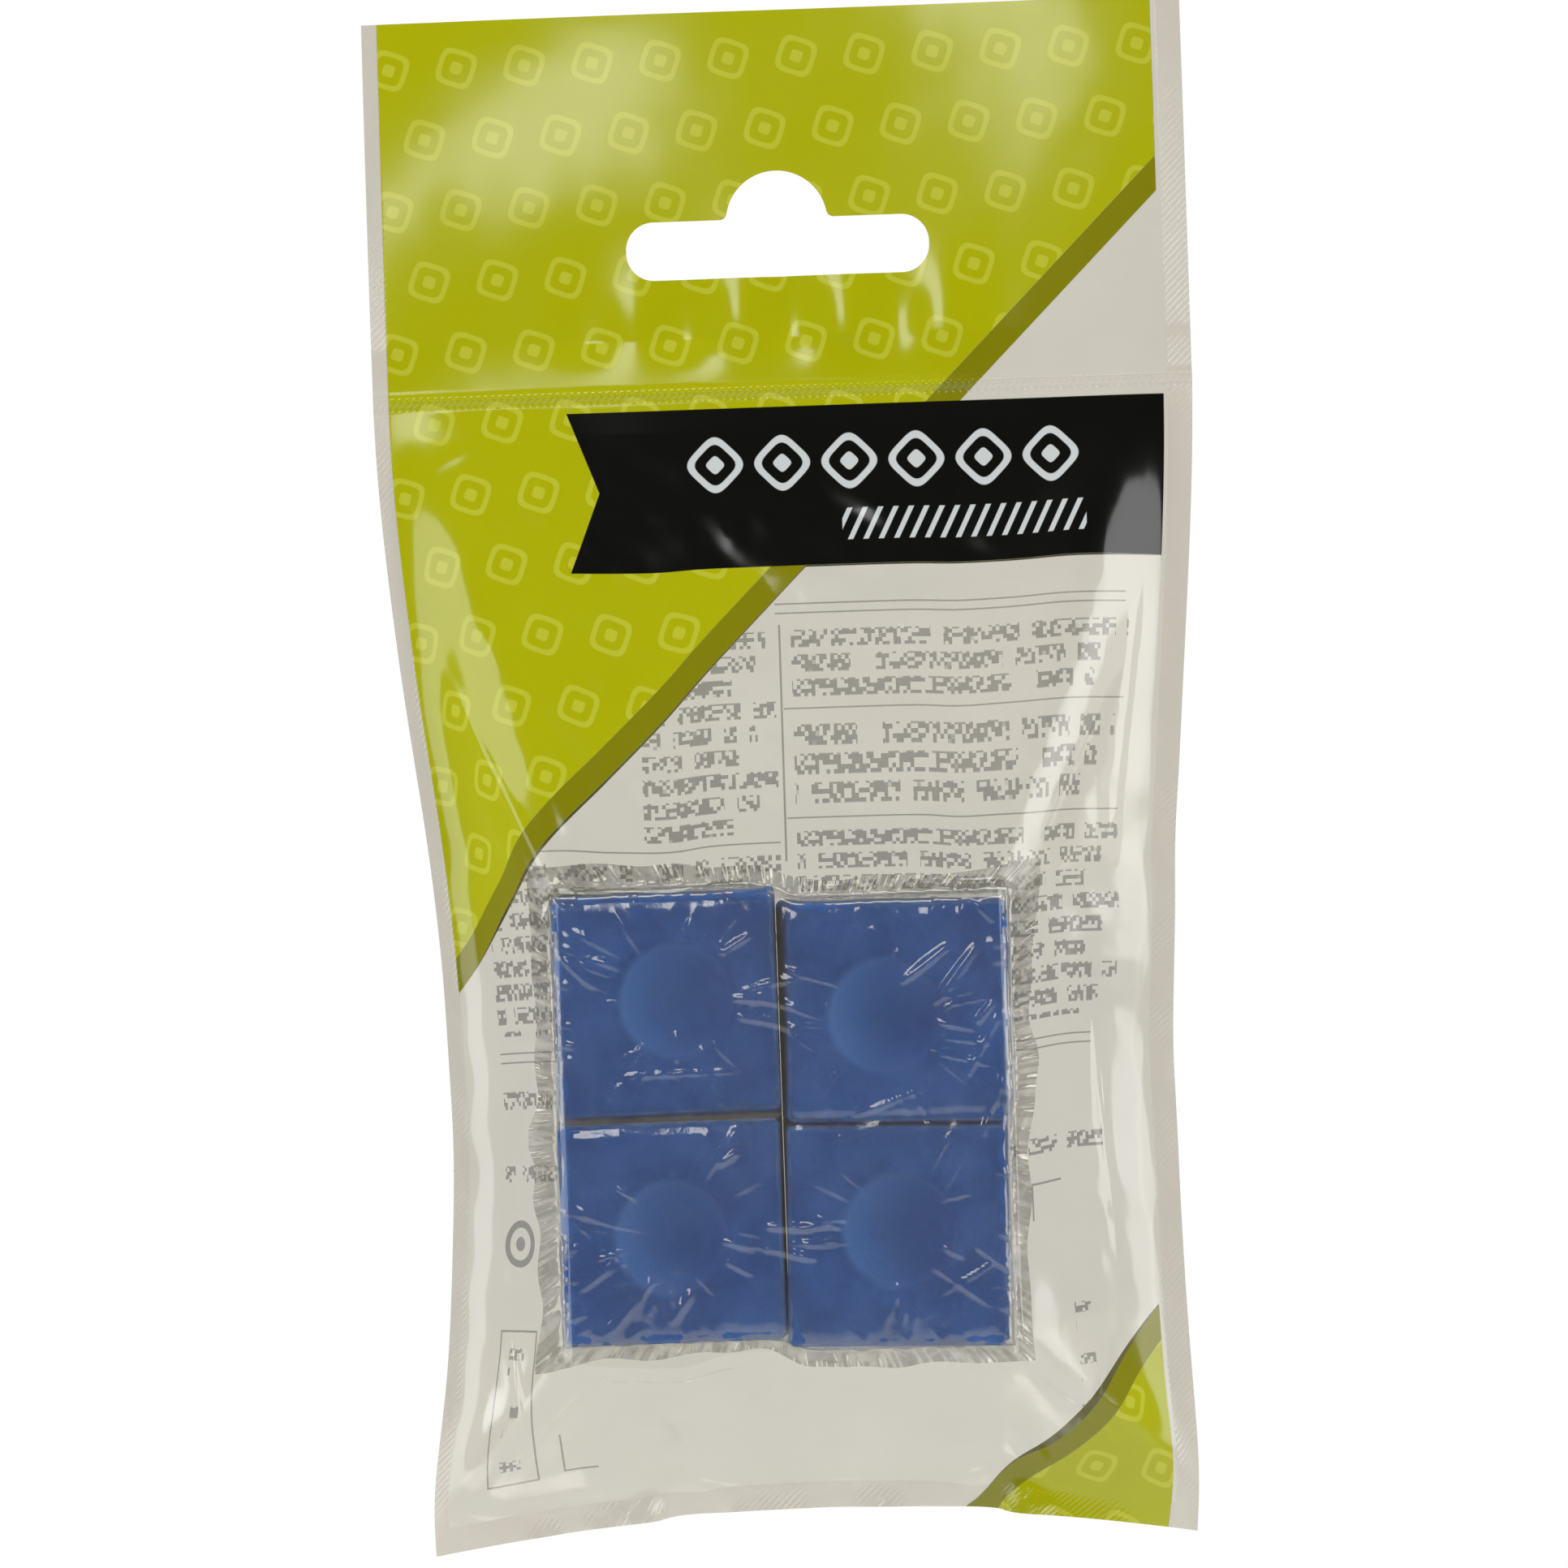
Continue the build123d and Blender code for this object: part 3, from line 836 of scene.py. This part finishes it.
def web_piece(name, side, patches):
    """One piece of a web from patches of film coordinates, with the film's own map and the whole
    web's normals, the cross product of its slopes, so that neighbouring pieces shade as one."""
    points, quads, flat, count = [], [], [], 0
    for u, v, closed in patches:
        number = count + np.arange(u.size).reshape(u.shape)
        if closed:
            number = np.concatenate([number, number[:, :1]], 1)
        cells = np.stack([number[:-1, :-1], number[1:, :-1], number[1:, 1:], number[:-1, 1:]], -1)
        quads.append(cells.reshape(-1, 4)[:, [0, 3, 2, 1] if closed else [0, 1, 2, 3]])
        flat.append(np.stack([u, v], -1).reshape(-1, 2))
        points.append(web_points(side, u, v).reshape(-1, 3))
        count += u.size
    points, quads, flat = np.concatenate(points), np.concatenate(quads), np.concatenate(flat)
    if side:
        quads = quads[:, ::-1]
    step = 0.2
    u, v = flat[:, 0], flat[:, 1]
    right, left = np.minimum(u + step, half_bag), np.maximum(u - step, -half_bag)
    below, above = np.minimum(v + step, bag_height), np.maximum(v - step, 0)
    across = web_points(side, right, v) - web_points(side, left, v)
    down = web_points(side, u, below) - web_points(side, u, above)
    normals = np.cross(down, across) * (1 - 2 * side)
    normals /= np.linalg.norm(normals, axis=1, keepdims=True)
    made = piece_from(name, points, quads)
    made.data.normals_split_custom_set_from_vertices(normals.astype(np.float32))
    film_map = made.data.uv_layers.new(name="film")
    on_map = np.stack([0.5 + u / map_size, 1 - v / map_size], -1)
    film_map.data.foreach_set("uv", on_map[quads.ravel()].astype(np.float32).ravel())
    return made


def film_grid(top, foot):
    """Film coordinates of a plain patch of web, from one height to another."""
    rows = max(int((foot - top) / web_step), 2) + 1
    columns = int(bag_width / web_step) + 1
    u, v = np.meshgrid(np.linspace(-half_bag, half_bag, columns), np.linspace(top, foot, rows))
    return u, v, False


ink_soft = 0.05
left_clear, right_clear = -38.5, 37.1
stripe_from, stripe_to = 52.7, 56.1
corner_stripe_from, corner_stripe_to = 165.0, 168.4
banner_top, banner_foot = 38.8, 54.4
banner_right, notch_point, notch_depth = 37.2, -18.2, 3.0
motif_across, motif_down, motif_first = 6.65, 6.97, 4.6
motif_size, motif_line, motif_tilt, motif_strength = 1.85, 0.5, (0.94, 0.34), 0.5
mark_pitch, mark_right, mark_middle = 6.55, 29.2, 44.3
mark_count, mark_size, mark_line = 6, 2.3, 0.62
bars_left, bars_top, bars_foot, bar_pitch, bar_lean, bar_span = 5.4, 48.9, 52.0, 1.5, 0.5, (0.25, 0.6)
lime_ink, motif_ink, olive_ink = colour(170, 172, 0), colour(200, 202, 70), colour(128, 126, 3)
black_ink, pale_ink, grey_ink = colour(9, 9, 6), colour(200, 204, 204), colour(84, 94, 112)
grey_strength = 0.6
speck_width, specks_tall, word_width = 0.36, 6, 1.25
seal_place, seal_ring, seal_dot = (-31.5, 119.6), (1.6, 2.3), 0.7
# Thin rules of the back web: left, right, top and foot.
rules = (
    (-1.5, 33.5, 57.9, 58.05), (-1.5, 33.5, 58.8, 58.95), (-0.9, 33.8, 68.2, 68.35),
    (-0.9, 33.8, 79.1, 79.25),
    (-26, -1.6, 81.5, 81.65), (-1.2, -1.0, 60, 83.5), (-34, 31, 101, 101.15), (-34, 31, 101.9, 102.05),
    (22.7, 26.5, 114.9, 115.1), (22.7, 22.9, 114.9, 118.5), (-26, -25.8, 139, 143.5),
    (-26, -22.5, 143.3, 143.5), (-34, -28.5, 128, 128.2), (-34, -28.5, 143.8, 144),
    (-34, -33.8, 128, 144), (-28.7, -28.5, 128, 144),
)
# Blocks of its small print: left, right, top, foot, pitch of the rows, their height and a seed.
speck_blocks = (
    (0, 34, 60.3, 67.6, 2.43, 0.8, 1), (0, 33, 69.6, 78.3, 2.9, 0.82, 2), (0, 34, 80.3, 99.2, 2.27, 0.78, 3),
    (-15, -1.6, 60.4, 81.1, 2.3, 0.8, 4), (-34, -1.6, 82.6, 99.4, 2.3, 0.8, 5),
    (-34, -24, 104.6, 107, 2.4, 0.8, 6), (20, 32, 110.4, 112.6, 2.2, 0.8, 7),
    (-34, -24, 111.8, 114, 2.2, 0.8, 8),
    (-32.5, -30.2, 129.6, 142.6, 1.9, 0.7, 9), (27.2, 29.2, 127, 139, 1.7, 0.7, 10),
)


def block_print(u, v, left, right, top, foot):
    """1 inside a rectangle of film coordinates."""
    return u.between(left, right, ink_soft) * v.between(top, foot, ink_soft)


def rounded_ring(across, down, size, line):
    """1 on the outline of a square with rounded corners, and on a dot in its middle. The distance
    is the fourth root of the sum of fourth powers."""
    far = (across * across * across * across + down * down * down * down).power(0.25)
    return far.between(size - line, size, ink_soft).larger(far.between(-1, 0.32 * size, ink_soft))


def small_print(u, v, left, right, top, foot, pitch, height, seed):
    """Lines of grey specks in place of small lettering: cells that are inked or not by chance,
    in rows, with gaps between words and ragged ends."""
    row = ((v - top) / pitch).floored()
    in_row = (v - top).turned_over(pitch) / pitch
    chance = []
    for wide, tall in (speck_width, (in_row * specks_tall).floored()), (word_width, 0.0):
        cell = u.node("ShaderNodeCombineXYZ", inputs={
            0: (u / wide + row * 0.37).floored(), 1: row + seed, 2: tall})
        chance.append(u.node("ShaderNodeTexWhiteNoise", {"noise_dimensions": "3D"}, {0: cell}))
    specks = chance[0].rise(0.42, 0.44) * chance[1].rise(0.14, 0.15) * in_row.between(0.1, height, 0.04)
    ragged = row.turned_over(3) * 1.9
    return specks * block_print(u, v, left, right, top, foot) * (right - ragged - u).rise(0, 0.1)


def bag_print(u, v, side):
    """Cover and colour of the ink: lime with a tone-on-tone motif, olive stripe and black
    banner on both webs, and grey small print on the back one."""
    printed = u.between(left_clear, right_clear, ink_soft)
    slant = u + v
    lime = printed * (1 - slant.between(stripe_from, corner_stripe_to, ink_soft))
    olive = printed * (slant.between(stripe_from, stripe_to, ink_soft)
                       + slant.between(corner_stripe_from, corner_stripe_to, ink_soft))
    row = ((v - motif_first) / motif_down + 0.5).floored()
    across = ((u / motif_across + row * 0.5 + 0.13).turned_over(1) - 0.5) * motif_across
    down = (((v - motif_first) / motif_down + 0.5).turned_over(1) - 0.5) * motif_down
    c, s = motif_tilt
    motif = rounded_ring(across * c + down * s, down * c - across * s, motif_size, motif_line)
    notch = (u + (v - (banner_top + banner_foot) / 2).size() * (notch_depth * 2 / (banner_foot - banner_top)))
    banner = (notch - notch_point).rise(-ink_soft, ink_soft) * block_print(
        u, v, -30, banner_right, banner_top, banner_foot)
    mark = (u - mark_right) / mark_pitch
    aside, below = (mark.turned_over(1) - 0.5) * mark_pitch, v - mark_middle
    marks = rounded_ring((aside + below) * 0.71, (aside - below) * 0.71, mark_size, mark_line)
    marks_left = mark_right - mark_count * mark_pitch
    marks = marks * block_print(u, v, marks_left, mark_right, banner_top, banner_foot)
    bars = ((u + v * bar_lean) / bar_pitch).turned_over(1).between(*bar_span, 0.03)
    bars = block_print(u, v, bars_left, mark_right, bars_top, bars_foot) * bars
    cover = lime.larger(olive).larger(banner)
    ink = (motif * motif_strength).mix(lime_ink, motif_ink)
    ink = olive.mix(ink, olive_ink)
    ink = banner.mix(ink, black_ink)
    ink = (banner * marks.larger(bars)).mix(ink, pale_ink)
    if not side:
        return cover, ink
    small = block_print(u, v, *rules[0])
    for rule in rules[1:]:
        small = small.larger(block_print(u, v, *rule))
    for block in speck_blocks:
        small = small.larger(small_print(u, v, *block))
    off, below = u - seal_place[0], v - seal_place[1]
    seal = (off * off + below * below).power(0.5)
    small = small.larger(seal.between(*seal_ring, ink_soft)).larger(seal.between(-1, seal_dot, ink_soft))
    small = small * (1 - cover)
    return cover.larger(small * grey_strength), cover.mix(grey_ink, ink)


ink_cover = 0.997
web_haze, weld_haze = (0.05, 0.12), 0.12
film_tint = (0.86, 0.845, 0.795, 1.0)
film_bloom, weld_bloom = colour(160, 152, 128), colour(188, 180, 162)
weld_soft, rib_pitch, rib_share = 0.1, 0.7, 0.06


def web_material(name, side):
    """Glossy clear film with its print, pressed flat and ribbed in the welds."""
    made, shade = material(name)
    film_map = shade.node("ShaderNodeUVMap", {"uv_map": "film"})
    u = (shade.node("ShaderNodeSeparateXYZ", inputs={0: film_map}) - 0.5) * map_size
    v = (1 - shade.node("ShaderNodeSeparateXYZ", inputs={0: film_map}, output=1)) * map_size
    cover, ink = bag_print(u, v, side)
    weld = (1 - u.between(left_weld - half_bag, half_bag - right_weld, weld_soft)).larger(
        v.between(bag_height - foot_weld, bag_height + 1, weld_soft)).larger(
        v.between(header_height - crease_weld, header_height, weld_soft))
    place = shade.node("ShaderNodeTexCoord", output=3)
    mottle = shade.node("ShaderNodeTexNoise", inputs={"Vector": place, "Scale": 90, "Detail": 3})
    ripple = shade.node("ShaderNodeTexNoise", inputs={
        "Vector": place, "Scale": 55, "Detail": 2, "Roughness": 0.4})
    ribs = ((u + v) * (2 * np.pi / rib_pitch)).wave() * rib_share
    height = ripple + weld * ribs + mottle * 0.04
    bumps = shade.node("ShaderNodeBump", inputs={"Height": height, "Strength": 0.4, "Distance": 0.5 * MM})
    haze = mottle.rise(0.2, 0.8) * 0.04 + web_haze[side] + weld * weld_haze
    paint = cover.mix(weld.mix(film_bloom, weld_bloom), ink)
    solid = cover * ink_cover + (1 - cover) * haze
    output(shade, film_layers(shade, solid, paint, film_tint, 0.1 + mottle * 0.06, bumps, 1.0))
    return made


header_seals = ["header_side_seal_left", "header_side_seal_right", "crease_seal"]
pouch_seals = ["pouch_side_seal_left", "pouch_side_seal_right", "bottom_seal"]
slot_area = 218.72
for side, facing in enumerate(("front", "back")):
    printed_web = web_material(f"printed_web_{facing}", side)
    header_nodes = [f"header_{facing}_film"] + header_seals
    pouch_nodes = [f"pouch_{facing}_film"] + pouch_seals
    pieces = (
        (f"header_{facing}_web", [(*header_ring(), True), film_grid(strip_top, header_foot)], header_foot,
         slot_area, ("header", "pouch"), crease_z, crease_z - crease_bend, header_nodes),
        (f"upper_{facing}_web", [film_grid(header_foot, block_line)], block_line - header_foot,
         0, ("pouch", "block"), crease_z - 6, block_high[2] + 1, pouch_nodes),
        (f"lower_{facing}_web", [film_grid(block_line, bag_height)], bag_height - block_line,
         0, ("block", "pouch"), block_low[2] - 1, crease_z - pouch_height + 5, pouch_nodes),
    )
    for name, patches, tall, hole, bodies, start, end, nodes in pieces:
        web = web_piece(name, side, patches)
        web.data.materials.append(printed_web)
        tall * MM
        "stretched" if "header" not in name else "hung"
        (bag_width * tall - hole) * MM**2
        start * MM
        end * MM
        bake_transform(web)
        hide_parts(*nodes)


low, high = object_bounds()
size = {"cad": [list(cad_low), list(cad_high)], "visual": [list(low), list(high)]}
